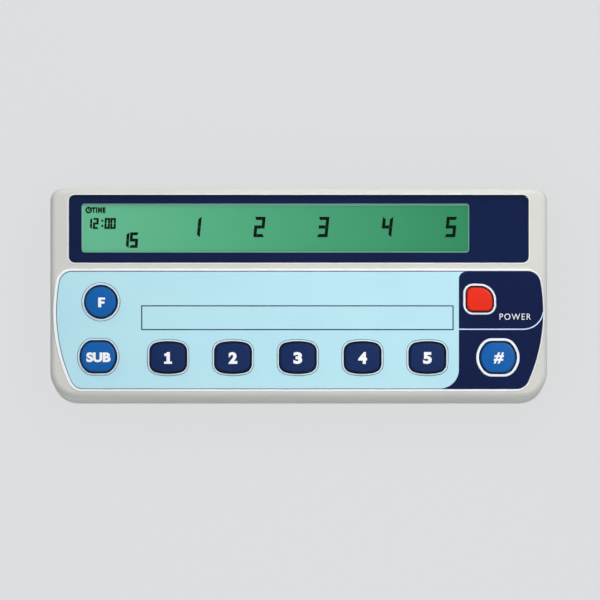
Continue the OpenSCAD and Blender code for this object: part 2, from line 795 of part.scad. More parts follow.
// Two insulated leads from the terminals' tails to pads under the key board.
module battery_leads() {
    color([0.7, 0.1, 0.1])
    for (row = [0, 1]) {
        x = -bay_w / 2 - 2.9 - (1 - row) * 2.4;
        pad = face_z(0, board_depth + board_t);
        wire([[-bay_w / 2 - 2.3, row_y(row), tail_z + 0.9], [x, row_y(row) - 1.5, tail_z + 0.9],
              [x, bay_y0 + 1, tail_z + 0.9], [x, bay_y0 - 4, pad - 3],
              [x, 1.6, pad - 1.6], [x, 0.4, pad - 0.2]], 1.2, [0.02, 0.1, 1]);
    }
}

module case_screws() {
    color([0.72, 0.72, 0.72])
    for (p = SCREWS)
        translate([p.x, p.y, post_z - shelf_t]) {
            translate([0, 0, -2])
                difference() {
                    cylinder(r = head_r, h = 2);
                    for (a = [0, 90])
                        rotate([0, 0, a])
                            translate([-1.4, -0.35, -1])
                                cube([2.8, 0.7, 2]);
                }
            translate([0, 0, -eps])
                cylinder(r = screw_r, h = 10);
        }
}

module board_screws() {
    color([0.72, 0.72, 0.72])
    for (p = concat(KEY_BOSSES, DISPLAY_BOSSES))
        on_face(p, board_bottom) {
            translate([0, 0, -1.3])
                difference() {
                    cylinder(r = 2, h = 1.3);
                    translate([-1.2, -0.3, -1])
                        cube([2.4, 0.6, 1.6]);
                }
            translate([0, 0, -eps])
                cylinder(r = board_screw_r, h = board_t + 4.2);
        }
}

module rubber_feet() {
    color([0.2, 0.2, 0.2])
    for (p = FEET)
        translate([p.x, p.y, 0])
            rotate_extrude()
                polygon([[0, 0], [foot_r - 0.8, 0], [foot_r, 0.8],
                         [foot_r, foot_show + foot_pocket - 0.05],
                         [0, foot_show + foot_pocket - 0.05]]);
}

top_case();
bottom_case();
battery_door();
keypad_overlay();
window_lens();
window_mask();
lcd_panel();
lcd_frame();
light_guide();
backlight_leds();
connector_strips();
display_board();
key_board();
dome_mat();
flex_cable();
controller_chip();
display_driver();
board_capacitors();
buzzer();
blue_key(0);  // key_f
blue_key(1);  // key_sub
navy_key(2);  // key_1
navy_key(3);  // key_2
navy_key(4);  // key_3
navy_key(5);  // key_4
navy_key(6);  // key_5
blue_key(7);  // key_hash
red_key(8);  // key_power
battery(0, 0);  // battery_1
battery(0, 1);  // battery_2
battery(1, 0);  // battery_3
battery(1, 1);  // battery_4
terminal_contacts();
bridge_contact();
battery_springs();
battery_leads();
case_screws();
board_screws();
rubber_feet();
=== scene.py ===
from math import atan2, cos, degrees, pi, radians, sin, sqrt
import bpy
import bmesh
from mathutils import Matrix, Vector


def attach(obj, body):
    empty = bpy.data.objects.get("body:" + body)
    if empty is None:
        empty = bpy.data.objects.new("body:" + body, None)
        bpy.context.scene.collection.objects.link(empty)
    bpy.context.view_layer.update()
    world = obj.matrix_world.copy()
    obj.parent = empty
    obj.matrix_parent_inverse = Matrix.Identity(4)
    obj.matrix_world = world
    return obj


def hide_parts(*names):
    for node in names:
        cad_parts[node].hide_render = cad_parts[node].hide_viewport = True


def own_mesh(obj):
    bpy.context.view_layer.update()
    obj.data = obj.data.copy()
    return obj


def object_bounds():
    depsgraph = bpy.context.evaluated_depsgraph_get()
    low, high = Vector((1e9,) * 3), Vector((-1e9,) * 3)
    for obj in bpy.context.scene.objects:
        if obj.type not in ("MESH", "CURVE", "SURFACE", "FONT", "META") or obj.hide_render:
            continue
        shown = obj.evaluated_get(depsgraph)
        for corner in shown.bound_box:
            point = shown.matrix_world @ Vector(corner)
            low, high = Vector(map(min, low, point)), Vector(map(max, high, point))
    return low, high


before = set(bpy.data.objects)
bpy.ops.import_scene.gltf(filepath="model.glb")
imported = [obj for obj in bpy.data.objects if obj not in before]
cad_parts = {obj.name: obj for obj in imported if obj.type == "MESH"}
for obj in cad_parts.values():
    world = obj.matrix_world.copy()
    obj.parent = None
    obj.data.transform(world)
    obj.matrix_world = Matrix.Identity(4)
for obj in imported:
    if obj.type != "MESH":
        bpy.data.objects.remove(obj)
cadLow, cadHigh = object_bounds()
mm = 0.001
print("frame loaded:", len(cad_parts), "nodes")

# Face frame: u along X, v up the slope, w out of the face, all in millimetres.
case = {
    "width": (cadHigh.x - cadLow.x) / mm,
    "depth": (cadHigh.y - cadLow.y) / mm,
    "faceHeight": 29.5,
    "tilt": 9.0,
    "parting": 12.0,
    "wall": 2.2,
    "plate": 2.8,
    "frontRadius": 11.0,
    "rearRadius": 5.0,
    "roll": 2.5,
    "root": 2.0,  # raised rims start this far below the face
    "lipHeight": 0.35,
    "lipWidth": 1.05,
    "lipRims": (0.35, 0.15),
    "seam": 0.3,
    "fit": 0.15,
}
faceNormal = Vector((0, -sin(radians(case["tilt"])), cos(radians(case["tilt"]))))
faceMatrix = (Matrix.Translation((0, 0, case["faceHeight"] * mm))
              @ Matrix.Rotation(radians(case["tilt"]), 4, "X") @ Matrix.Scale(mm, 4))


def vAt(y):  # v of the face at world y
    return y / cos(radians(case["tilt"]))


def faceZ(y, depth):  # height of the face at world y, a depth below it
    slope = radians(case["tilt"])
    return case["faceHeight"] + y * (sin(slope) / cos(slope)) - depth / cos(slope)


# An outline is a list of arcs: centre x, centre y, radius, from, to, steps.
def rectArcs(width, depth, radius, at=(0, 0), steps=6):
    x, y = width / 2 - radius, depth / 2 - radius
    spots = [(x, -y, -90), (x, y, 0), (-x, y, 90), (-x, -y, 180)]
    return [(at[0] + cx, at[1] + cy, radius, a, a + 90, steps) for cx, cy, a in spots]


def circleArcs(radius, at=(0, 0), steps=48):
    return [(at[0], at[1], radius, 0, 360, steps)]


def ovalArcs(width, depth, corner, fine=7):  # a circle flattened at front and back
    radius = width / 2
    y = depth / 2 - corner
    x = sqrt((radius - corner) ** 2 - y * y)
    a = degrees(atan2(y, x))
    return [(0, 0, radius, -a, a, 2 * fine), (x, y, corner, a, 90, fine),
            (-x, y, corner, 90, 180 - a, fine), (0, 0, radius, 180 - a, 180 + a, 2 * fine),
            (-x, -y, corner, 180 + a, 270, fine), (x, -y, corner, 270, 360 - a, fine)]


def barrelArcs(width, depth, bow, corner, fine=6):  # two bowed ends, straight sides, tangent corners
    x = width / 2 - corner
    drop = bow - depth / 2
    y = sqrt((bow - corner) ** 2 - x * x) - drop
    a = degrees(atan2(y + drop, x))
    return [(x, y, corner, 0, a, fine), (0, -drop, bow, a, 180 - a, 2 * fine),
            (-x, y, corner, 180 - a, 180, fine), (-x, -y, corner, 180, 180 + a, fine),
            (0, drop, bow, 180 + a, 360 - a, 2 * fine), (x, -y, corner, 360 - a, 360, fine)]


def powerArcs(width, depth, tight, wide, fine=6):  # three tight corners and a wide one
    x, y = width / 2, depth / 2
    return [(x - tight, tight - y, tight, -90, 0, fine), (x - wide, y - wide, wide, 0, 90, 2 * fine),
            (tight - x, y - tight, tight, 90, 180, fine), (tight - x, tight - y, tight, 180, 270, fine)]


def grownArcs(arcs, grow):
    return [(cx, cy, r + grow, a, b, n) for cx, cy, r, a, b, n in arcs]


def movedArcs(arcs, at):
    return [(cx + at[0], cy + at[1], r, a, b, n) for cx, cy, r, a, b, n in arcs]


window = {
    "side": 7.9,
    "rear": 3.12,
    "depth": 28.5,
    "radius": 2.5,
    "lens": 1.5,
    "lensRim": 0.5,
    "mask": 0.15,
    "fit": 0.05,
    "beadWidth": 0.42,
    "beadHeight": 0.12,
    "beadRim": 0.1,
}
window["width"] = case["width"] - 2 * window["side"]
window["v1"] = vAt(case["depth"] / 2) - window["rear"]
window["v0"] = window["v1"] - window["depth"]
window["v"] = (window["v0"] + window["v1"]) / 2
pocket = rectArcs(window["width"], window["depth"], window["radius"], (0, window["v"]))
display = {
    "width": 163.8,
    "depth": 20.7,
    "in": 5.37,
    "rise": 0.4,
    "corner": 1.3,
    "glass": 1.1,
    "gap": 0.2,
    "cut": 0.6,
    "border": (4.2, 3.0),
    "opening": (1.6, 1.4, 1.5),  # more width, more depth and corner of the hole in the plate
}
display["u"] = display["in"] + (display["width"] - window["width"]) / 2
display["v"] = window["v"] + display["rise"]

overlay = {
    "side": 2.3,
    "front": 3.54,
    "strip": 3.63,
    "bow": 71.8,
    "bowAt": 17.2,
    "bowSteps": 24,
    "corner": 5.5,
    "cornerSteps": 10,
    "film": 0.25,
    "filmTop": -0.02,
    "filmRims": (0.06, 0.05),
    "shift": 0.45,
}
overlay["v1"] = window["v0"] - overlay["strip"]
overlay["v0"] = vAt(-case["depth"] / 2) + overlay["front"]


def overlayArcs():
    big, small = overlay["bow"], overlay["corner"]
    long, short = overlay["bowSteps"], overlay["cornerSteps"]
    u = case["width"] / 2 - overlay["side"] - big
    v = overlay["v1"] - overlay["bowAt"]
    low, high = overlay["v0"] + small, overlay["v1"] - small
    xLow = u + sqrt((big - small) ** 2 - (low - v) ** 2)
    xHigh = u + sqrt((big - small) ** 2 - (high - v) ** 2)
    aLow, aHigh = degrees(atan2(low - v, xLow - u)), degrees(atan2(high - v, xHigh - u))
    return [(xLow, low, small, -90, aLow, short), (u, v, big, aLow, aHigh, long),
            (xHigh, high, small, aHigh, 90, short), (-xHigh, high, small, 90, 180 - aHigh, short),
            (-u, v, big, 180 - aHigh, 180 - aLow, long), (-xLow, low, small, 180 - aLow, 270, short)]


def planArcs(steps=12):
    x, y = case["width"] / 2, case["depth"] / 2
    front, rear = case["frontRadius"], case["rearRadius"]
    return [(x - front, front - y, front, -90, 0, steps), (x - rear, y - rear, rear, 0, 90, steps),
            (rear - x, y - rear, rear, 90, 180, steps), (front - x, front - y, front, 180, 270, steps)]


# The mesh tools work in millimetres, and makePiece brings their result to metres.
def trace(bm, arcs, grow=0.0, level=0.0):  # closed loop of edges along an outline, grown outwards
    touching = 1e-3
    before = set(bm.edges)
    first = last = None
    for cx, cy, radius, start, end, steps in arcs:
        r = radius + grow if steps else 0
        spot = Vector((cx + r * cos(radians(start)), cy + r * sin(radians(start)), level))
        if last is None:
            first = last = bm.verts.new(spot)
        elif (spot - last.co).length > touching:
            last = bmesh.ops.extrude_vert_indiv(bm, verts=[last])["verts"][0]
            last.co = spot
        if steps:
            swung = bmesh.ops.spin(bm, geom=[last], cent=(cx, cy, level), axis=(0, 0, 1), steps=steps,
                                   angle=radians(end - start), use_merge=False, use_duplicate=False)
            last = [g for g in swung["geom_last"] if isinstance(g, bmesh.types.BMVert)][0]
    if (last.co - first.co).length < touching:
        bmesh.ops.weld_verts(bm, targetmap={last: first})
    else:
        bm.edges.new((last, first))
    return [e for e in bm.edges if e not in before]


def vertsOf(edges):
    return list({v for e in edges for v in e.verts})


def bridge(bm, lower, upper):  # wall between two loops
    bmesh.ops.bridge_loops(bm, edges=lower + upper)
    return upper


def fill(bm, *loops):  # flat face inside the first loop, with the others as its holes
    bmesh.ops.triangle_fill(bm, edges=[e for loop in loops for e in loop], use_beauty=True)


def rounding(radius, steps=4):  # (inset, drop) pairs from the wall to the top of a rounded edge
    turns = [pi / 2 * i / steps for i in range(steps + 1)]
    return [(radius * (1 - cos(a)), radius * (1 - sin(a))) for a in turns]


def wallUp(bm, arcs, low, high, rim, way=-1):  # wall with a rounded top; way 1 for a hole
    bottom = loop = trace(bm, arcs, 0, low)
    for inset, drop in rounding(rim):
        loop = bridge(bm, loop, trace(bm, arcs, way * inset, high - drop))
    return bottom, loop


def slab(bm, outer, holes, low, high, rim=0.1, holeRim=0.1):  # plate with rounded top edges
    sides = [wallUp(bm, outer, low, high, rim)]
    sides += [wallUp(bm, arcs, low, high, holeRim, way=1) for arcs in holes]
    fill(bm, *[s[0] for s in sides])
    fill(bm, *[s[1] for s in sides])


def makePiece(name, bm, material, body, replaced=(), matrix=None):
    merge, sharp = 1e-4, 32  # millimetres and degrees
    bmesh.ops.remove_doubles(bm, verts=bm.verts, dist=merge)
    bmesh.ops.recalc_face_normals(bm, faces=bm.faces)
    bmesh.ops.transform(bm, matrix=matrix or faceMatrix, verts=bm.verts)
    mesh = bpy.data.meshes.new(name)
    bm.to_mesh(mesh)
    bm.free()
    mesh.polygons.foreach_set("use_smooth", [True] * len(mesh.polygons))
    mesh.set_sharp_from_angle(angle=radians(sharp))
    mesh.materials.append(material)
    piece = bpy.data.objects.new(name, mesh)
    bpy.context.scene.collection.objects.link(piece)
    keep = piece.modifiers.new("flat faces stay flat", "WEIGHTED_NORMAL")
    keep.keep_sharp = True
    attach(piece, body)
    if replaced:
        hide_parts(*replaced)
    return piece


def linear(hexColour):  # sRGB hex to the linear colour that the nodes take
    parts = [int(hexColour[i:i + 2], 16) / 255 for i in (1, 3, 5)]
    return tuple(p / 12.92 if p <= 0.04045 else ((p + 0.055) / 1.055) ** 2.4 for p in parts) + (1.0,)


def addNode(material, kind, settings=None, links=None):
    node = material.node_tree.nodes.new(kind)
    for key, value in (settings or {}).items():
        if isinstance(key, str) and hasattr(node, key):
            setattr(node, key, value)
        else:
            node.inputs[key].default_value = value
    for key, source in (links or {}).items():
        material.node_tree.links.new(source, node.inputs[key])
    return node


def blankMaterial(name):
    material = bpy.data.materials.new(name)
    material.use_nodes = True
    material.node_tree.nodes.clear()
    return material


finishing = {
    "full": (0.3, 0.95),  # noise at which the shade and the full colour are reached
    "driftRange": (0.3, 0.7),  # noise between which the roughness changes
    "roughShare": (0.85, 1.15),  # least and most of the roughness
    "relief": 0.25,  # height of the bump as a share of the grain
    "steep": 0.65,  # faces that lean this much have the whole painted side shade
    "flat": 0.985,
    "coatRoughness": 0.06,
    "scatter": 1.0 * mm,
}


# Plastic, rubber, film and ink all share this: a faint drift of colour over centimetres, a fine
# mottle of the surface, and a bump. Grain and drift are real sizes in millimetres.
def surface(name, colour, shade, roughness, grain=0.4, bump=0.15, mottle=0.25, drift=30.0,
            metallic=0.0, coat=0.0, emission=0.0, specular=0.5, sheen=0.0, subsurface=0.0, side=1.0):
    material = blankMaterial(name)
    place = addNode(material, "ShaderNodeTexCoord").outputs["Object"]
    wide = addNode(material, "ShaderNodeTexNoise", {"Scale": 1 / (drift * mm), "Detail": 3.0},
                   {"Vector": place})
    fine = addNode(material, "ShaderNodeTexNoise", {"Scale": 1 / (grain * mm), "Detail": 2.0},
                   {"Vector": place})
    mixed = addNode(material, "ShaderNodeMath", {"operation": "MULTIPLY_ADD", 1: mottle},
                    {0: fine.outputs["Fac"], 2: wide.outputs["Fac"]})
    tint = addNode(material, "ShaderNodeValToRGB", {}, {"Fac": mixed.outputs[0]})
    for stop, at, value in zip(tint.color_ramp.elements, finishing["full"], (shade, colour)):
        stop.position = at
        stop.color = linear(value)
    colourAndSideShade = tint.outputs["Color"]
    if side < 1:  # painted shade: the steep faces of a key are darkened, standing in for the shade in the gap round it
        turn = addNode(material, "ShaderNodeNewGeometry").outputs["Normal"]
        up = addNode(material, "ShaderNodeVectorMath", {"operation": "DOT_PRODUCT", 1: faceNormal},
                     {0: turn})
        keep = addNode(material, "ShaderNodeMapRange",
                       {"From Min": finishing["steep"], "From Max": finishing["flat"], "To Min": side},
                       {"Value": up.outputs["Value"]})
        colourAndSideShade = addNode(material, "ShaderNodeVectorMath", {"operation": "SCALE"},
                      {0: colourAndSideShade, 3: keep.outputs["Result"]}).outputs["Vector"]
    low, high = finishing["driftRange"]
    least, most = finishing["roughShare"]
    rough = addNode(material, "ShaderNodeMapRange",
                    {"From Min": low, "From Max": high, "To Min": roughness * least,
                     "To Max": min(1.0, roughness * most)}, {"Value": wide.outputs["Fac"]})
    relief = addNode(material, "ShaderNodeBump",
                     {"Strength": bump, "Distance": grain * mm * finishing["relief"]},
                     {"Height": fine.outputs["Fac"]})
    shader = addNode(material, "ShaderNodeBsdfPrincipled",
                     {"Metallic": metallic, "Coat Weight": coat,
                      "Coat Roughness": finishing["coatRoughness"], "Specular IOR Level": specular,
                      "Sheen Weight": sheen, "Subsurface Weight": subsurface,
                      "Subsurface Scale": finishing["scatter"], "Emission Strength": emission},
                     {"Base Color": colourAndSideShade, "Roughness": rough.outputs["Result"],
                      "Normal": relief.outputs["Normal"]})
    if emission:
        material.node_tree.links.new(tint.outputs["Color"], shader.inputs["Emission Color"])
    addNode(material, "ShaderNodeOutputMaterial", {}, {"Surface": shader.outputs["BSDF"]})
    return material


# Polarised glass, lit from behind: the light comes in at the left, so the green falls off to the right.
def displayGreen():
    settings = {
        "left": "#5DA881",
        "middle": "#43926A",
        "right": "#2A7951",
        "from": -92 * mm,
        "to": 73 * mm,
        "glow": 0.38,
        "patch": 50 / 3 * mm,
        "unevenness": 0.06,
        "roughness": 0.5,
        "specular": 0.2,
    }
    material = blankMaterial("polarised display glass")
    place = addNode(material, "ShaderNodeTexCoord").outputs["Object"]
    axes = addNode(material, "ShaderNodeSeparateXYZ", {}, {"Vector": place})
    along = addNode(material, "ShaderNodeMapRange", {"From Min": settings["from"],
                    "From Max": settings["to"]}, {"Value": axes.outputs["X"]})
    cloud = addNode(material, "ShaderNodeTexNoise", {"Scale": 1 / settings["patch"], "Detail": 2.0},
                    {"Vector": place})
    spread = addNode(material, "ShaderNodeMath",
                     {"operation": "MULTIPLY_ADD", 1: settings["unevenness"]},
                     {0: cloud.outputs["Fac"], 2: along.outputs["Result"]})
    tint = addNode(material, "ShaderNodeValToRGB", {}, {"Fac": spread.outputs[0]})
    ramp = tint.color_ramp
    ramp.elements[0].color = linear(settings["left"])
    ramp.elements[1].color = linear(settings["right"])
    ramp.elements.new(0.5).color = linear(settings["middle"])
    shader = addNode(material, "ShaderNodeBsdfPrincipled",
                     {"Roughness": settings["roughness"], "Specular IOR Level": settings["specular"],
                      "Emission Strength": settings["glow"]},
                     {"Base Color": tint.outputs["Color"], "Emission Color": tint.outputs["Color"]})
    addNode(material, "ShaderNodeOutputMaterial", {}, {"Surface": shader.outputs["BSDF"]})
    return material


# Polished acrylic sheet: nothing of its own to see but a thin reflection, on its outer side only.
def clearAcrylic():
    settings = {"ior": 1.4, "roughness": 0.06, "clear": (0.97, 0.98, 0.985, 1)}
    material = blankMaterial("polished clear acrylic")
    gloss = addNode(material, "ShaderNodeBsdfGlossy",
                    {"Roughness": settings["roughness"], "Color": (1, 1, 1, 1)})
    through = addNode(material, "ShaderNodeBsdfTransparent", {"Color": settings["clear"]})
    edge = addNode(material, "ShaderNodeFresnel", {"IOR": settings["ior"]})
    inside = addNode(material, "ShaderNodeNewGeometry")
    front = addNode(material, "ShaderNodeMath", {"operation": "SUBTRACT", 0: 1.0},
                    {1: inside.outputs["Backfacing"]})
    share = addNode(material, "ShaderNodeMath", {"operation": "MULTIPLY"},
                    {0: edge.outputs["Fac"], 1: front.outputs[0]})
    both = addNode(material, "ShaderNodeMixShader", {},
                   {0: share.outputs[0], 1: through.outputs["BSDF"], 2: gloss.outputs["BSDF"]})
    addNode(material, "ShaderNodeOutputMaterial", {}, {"Surface": both.outputs["Shader"]})
    return material


# Grain is in millimetres. The real grain of a moulding is 0.05 to 0.1 mm and that of a metal finer
# still, so each is drawn as coarse as it needs to show.
finishes = {
    # ABS from a spark-eroded mould: a soft sheen, broken up by a fine even grain
    "case": surface("spark eroded abs", "#D1D1CB", "#CACAC4", 0.45,
                    grain=0.35, bump=0.25, specular=0.4),
    # ABS from a polished mould: smooth, with a clear highlight along each rounded edge
    "collar": surface("polished white abs", "#EEF5FF", "#E8F0FC", 0.22, grain=0.5, bump=0.05),
    # lip and bead: white ABS, made paler still so that their colour also carries a painted highlight along
    # their rims
    "lip": surface("polished abs lip with painted highlight", "#F5F8FA", "#EEF1F3", 0.3, grain=0.5, bump=0.05),
    "bead": surface("polished abs bead with painted highlight", "#F3F3F0", "#ECECE8", 0.3, grain=0.5, bump=0.05),
    "paleCollar": surface("polished pale blue abs", "#D8ECF8", "#CEE6F4", 0.3, grain=0.5, bump=0.05),
    # polycarbonate film, printed on its back: satin, with the slight speckle of its hard coat
    "film": surface("printed light blue polycarbonate", "#B5E0EB", "#A8D7E6", 0.38,
                    grain=0.6, bump=0.3, mottle=0.9),
    "navyPrint": surface("printed navy polycarbonate", "#141F46", "#0F1838", 0.45,
                         grain=0.6, bump=0.3, mottle=0.6, specular=0.08),
    # screen-printed ink: flat and even, a little duller than the film round it
    "inkLine": surface("screen printed dark ink", "#14303F", "#0F2734", 0.4, grain=0.2, bump=0.05),
    "paleLine": surface("screen printed pale ink", "#CBE0FA", "#C0D7F5", 0.4, grain=0.2, bump=0.05),
    "whiteInk": surface("pad printed white ink", "#F6F7F8", "#EBEDF0", 0.4, grain=0.2, bump=0.05),
    "mask": surface("navy ink on acrylic", "#0D1F4A", "#0A1940", 0.6,
                    grain=0.5, bump=0.03, specular=0.05),
    # ABS moulded in colour: a polished top, and steep sides darkened with painted shade for the shade of
    # the collar round them
    "blueKey": surface("moulded blue abs with painted side shade", "#1260A9", "#0D559E", 0.35,
                       grain=0.8, bump=0.04, specular=0.3, side=0.2),
    "navyKey": surface("moulded navy abs with painted side shade", "#1B2F5D", "#152751", 0.35,
                       grain=0.8, bump=0.04, specular=0.15, side=0.2),
    "redKey": surface("moulded red abs with painted side shade", "#EA341F", "#DC2917", 0.35,
                      grain=0.8, bump=0.04, specular=0.25, side=0.25),
    # liquid crystal turned dark: near black and with no gloss of its own
    "segment": surface("dark liquid crystal", "#05110A", "#030C07", 0.6,
                       grain=0.3, bump=0.02, specular=0.0),
    # paler green line round the viewing area: a painted highlight along the display's edge, glowing a
    # little
    "displayEdgeHighlight": surface("display edge with painted highlight", "#7FB39F", "#75A794", 0.5,
                        grain=0.5, bump=0.05, emission=0.25),
    "display": displayGreen(),
    "clear": clearAcrylic(),
    # glass epoxy under cured solder mask: glossy green with the weave just felt below
    "board": surface("solder mask on glass epoxy", "#2F6B45", "#255A38", 0.35,
                     grain=1.2, bump=0.2, mottle=0.6),
    # ABS moulded without a dye: pale cream and dull
    "framePlastic": surface("moulded cream abs", "#E4E3DF", "#D9D8D3", 0.5),
    # acrylic moulded smooth: a faint green glow where it carries the light
    "guide": surface("moulded acrylic light guide", "#DCEBDD", "#CFE2D2", 0.15, bump=0.02, emission=0.1),
    # epoxy potting: pale yellow-green, a little cloudy
    "led": surface("potted led strip", "#C9D98A", "#B7C97A", 0.4, grain=0.5),
    # carbon-filled and plain silicone in thin layers: grey, finely mottled, matt
    "elastomer": surface("layered silicone rubber", "#7B7C80", "#55565A", 0.6, grain=0.2, mottle=0.8),
    # moulded silicone: matt and soft, with a little light inside it
    "silicone": surface("moulded silicone", "#C4C5C8", "#B4B5B9", 0.55, grain=0.5, subsurface=0.1),
    # rolled polyimide film: smooth amber with a clear highlight
    "flex": surface("rolled polyimide", "#C98F36", "#B57C28", 0.3, grain=0.6),
    # moulded epoxy: nearly black, with the dull grain of its filler
    "epoxy": surface("moulded epoxy", "#2A2A2C", "#202022", 0.5, grain=0.25, bump=0.3),
    # shrunk PVC sleeve: smooth and tight, with a soft highlight, and a coat on the cells
    "can": surface("shrunk pvc sleeve", "#3B3F52", "#2E3244", 0.35, grain=0.6),
    "jacket": surface("printed cell jacket", "#3F5F45", "#34523A", 0.3, grain=0.7, coat=0.3),
    # plated steel: bright grey, warm over nickel and cool and duller over zinc
    "plated": surface("nickel plated steel", "#C9C8C4", "#B5B4AF", 0.28, grain=0.3, metallic=1.0),
    "zinc": surface("zinc plated steel", "#BFC1C4", "#A4A7AC", 0.33, grain=0.25, metallic=1.0),
    # extruded PVC: even red with a satin skin
    "lead": surface("extruded pvc", "#A5211F", "#8F1816", 0.45, grain=0.5),
    # moulded nitrile rubber: dull dark grey, rough to the touch, paler at grazing angles
    "rubber": surface("moulded nitrile rubber", "#37383A", "#2B2C2E", 0.75,
                      grain=0.3, bump=0.35, sheen=0.1),
}
print("materials made:", len(finishes))

keys = {
    "gap": 0.45,
    "collarHeight": 0.3,
    "collarFit": 0.06,
    "collarRoot": 0.2,
    "collarRims": (0.2, 0.15),
    "proud": 1.5,
    "flange": 1.0,
    "flangeThick": 0.9,
    "flangeGap": 0.1,
    "crown": 80.0,
    "crownRings": 8,
    "edge": 0.8,
    "edgeSteps": 6,
    "wall": 1.2,
    "roof": 0.4,
    "stem": 2.4,
    "stemGap": 0.05,
    "travel": 1.2,
    "pitch": 27.35,
    "shift": -0.4,
    "row": 13.25,
    "legendStep": 1.0,  # longer edges of a legend are cut up, so that it can follow the dome
    "legendSunk": 0.005,
}
navyZone = ("key_hash", "key_power")
half = case["width"] / 2
shapes = {
    "round": circleArcs(13.4 / 2),
    "oval": ovalArcs(15.05, 13.0, 4.0),
    "barrel": barrelArcs(15.0, 12.85, 22.0, 3.3),
    "power": powerArcs(11.1, 10.35, 2.6, 5.6),
}
# place on the face, outline, width of the collar, finish, legend, size of the legend and its shift
layout = {
    "key_f": ((21.5 - half, overlay["v1"] - 12.95), "round", 1.25, "blueKey",
              "F", (2.9, 4.1), (0.4, -0.2)),
    "key_sub": ((20.4 - half, overlay["v0"] + 13.6), "oval", 1.15, "blueKey",
                "SUB", (10.25, 4.15), (0.15, -0.2)),
    "key_hash": ((half - 20.9, overlay["v0"] + 13.3), "oval", 1.55, "blueKey",
                 "#", (3.95, 4.75), (0.3, -0.2)),
    "key_power": ((half - 28.6, overlay["v1"] - 11.8), "power", 1.3, "redKey",
                  "", None, None),
}
for n, figureWidth in enumerate((3.3, 3.7, 3.7, 3.7, 3.7), 1):
    spot = ((n - 3) * keys["pitch"] + keys["shift"], overlay["v0"] + keys["row"])
    layout[f"key_{n}"] = (spot, "barrel", 1.1, "navyKey", str(n), (figureWidth, 5.0), (0, -0.15))


def buildTopCase():
    inside = {"rollSteps": 8, "corner": 0.8, "keyHole": 0.1, "pocket": 0.05}
    bm = bmesh.new()
    plan = planArcs()

    def level(inset, depth=None, z=None):
        loop = trace(bm, plan, -inset)
        for v in vertsOf(loop):
            v.co.z = z if z is not None else faceZ(v.co.y, depth)
        return loop

    # outer skin from the flat of the face down the roll and the wall, and back up the inside
    roll = reversed(rounding(case["roll"], inside["rollSteps"]))
    steps = [(inset, case["lipHeight"] + drop, None) for inset, drop in roll]
    steps += [(0, None, case["parting"] + case["seam"]), (case["seam"], None, case["parting"]),
              (case["wall"], None, case["parting"]),
              (case["wall"], case["plate"] + inside["corner"], None),
              (case["wall"] + inside["corner"], case["plate"], None)]
    outerFlat = loop = level(*steps[0])
    for step in steps[1:]:
        loop = bridge(bm, loop, level(*step))
    innerFlat = loop
    # the plate is pierced by the keys and by the display opening in the lens pocket
    into = (Matrix.Translation((0, 0, case["faceHeight"]))
            @ Matrix.Rotation(radians(case["tilt"]), 4, "X"))

    def onFace(arcs, w, grow=0.0):
        loop = trace(bm, arcs, grow, w)
        bmesh.ops.transform(bm, matrix=into, verts=vertsOf(loop))
        return loop

    topHoles = []
    innerHoles = []
    for spot, shape, *_ in layout.values():
        arcs = movedArcs(shapes[shape], spot)
        top = onFace(arcs, -case["lipHeight"], keys["gap"] + inside["keyHole"])
        topHoles.append(top)
        innerHoles.append(bridge(bm, top, onFace(arcs, -case["plate"], keys["gap"] + inside["keyHole"])))
    wider, deeper, corner = display["opening"]
    opening = rectArcs(display["width"] + wider, display["depth"] + deeper, corner,
                       (display["u"], display["v"]))
    loop = onFace(pocket, -case["lipHeight"], case["fit"] + inside["pocket"])
    topHoles.append(loop)
    floorW = -case["lipHeight"] - window["lens"] - window["mask"]
    loop = bridge(bm, loop, onFace(pocket, floorW, case["fit"]))
    ledge = onFace(opening, floorW)
    fill(bm, loop, ledge)
    innerHoles.append(bridge(bm, ledge, onFace(opening, -case["plate"])))
    fill(bm, outerFlat, *topHoles)
    fill(bm, innerFlat, *innerHoles)
    piece = makePiece("top_shell", bm, finishes["case"], "case", ["top_case"],
                      matrix=Matrix.Scale(mm, 4))
    print("top shell:", len(piece.data.polygons), "faces")


def buildBead():  # thin raised bead round the window, paler than the case: a painted highlight along the window's rim
    grow = case["fit"] + window["beadWidth"]
    rim = window["beadRim"]
    bm = bmesh.new()
    slab(bm, grownArcs(pocket, grow), [grownArcs(pocket, case["fit"])], -case["root"],
         window["beadHeight"] - case["lipHeight"], rim, rim)
    makePiece("window_bead", bm, finishes["bead"], "case")


def buildLip():  # raised rim round the overlay
    outerRim, innerRim = case["lipRims"]
    bm = bmesh.new()
    outline = overlayArcs()
    edge = movedArcs(outline, (overlay["shift"], 0))
    loop = trace(bm, outline, case["lipWidth"], -case["root"])
    inner = trace(bm, edge, case["fit"], -case["root"])
    fill(bm, loop, inner)
    for inset, drop in rounding(outerRim, 5):
        loop = bridge(bm, loop, trace(bm, outline, case["lipWidth"] - inset, -drop))
    for inset, drop in rounding(innerRim):
        inner = bridge(bm, inner, trace(bm, edge, case["fit"] + inset, -drop))
    fill(bm, loop, inner)
    makePiece("overlay_lip", bm, finishes["lip"], "case")


def buildCollars():  # raised ring round each key: white in the navy zone, pale blue in the light one
    paleZone = [key for key in layout if key not in navyZone]
    for name, finish, zone in (("white_collars", "collar", navyZone),
                               ("pale_collars", "paleCollar", paleZone)):
        bm = bmesh.new()
        for key in zone:
            spot, shape, collar, *_ = layout[key]
            arcs = movedArcs(shapes[shape], spot)
            slab(bm, grownArcs(arcs, collar), [grownArcs(arcs, keys["gap"] + keys["collarFit"])],
                 keys["collarRoot"] - case["plate"], keys["collarHeight"], *keys["collarRims"])
        makePiece(name, bm, finishes[finish], "case")
    print("bead, lip and collars made")


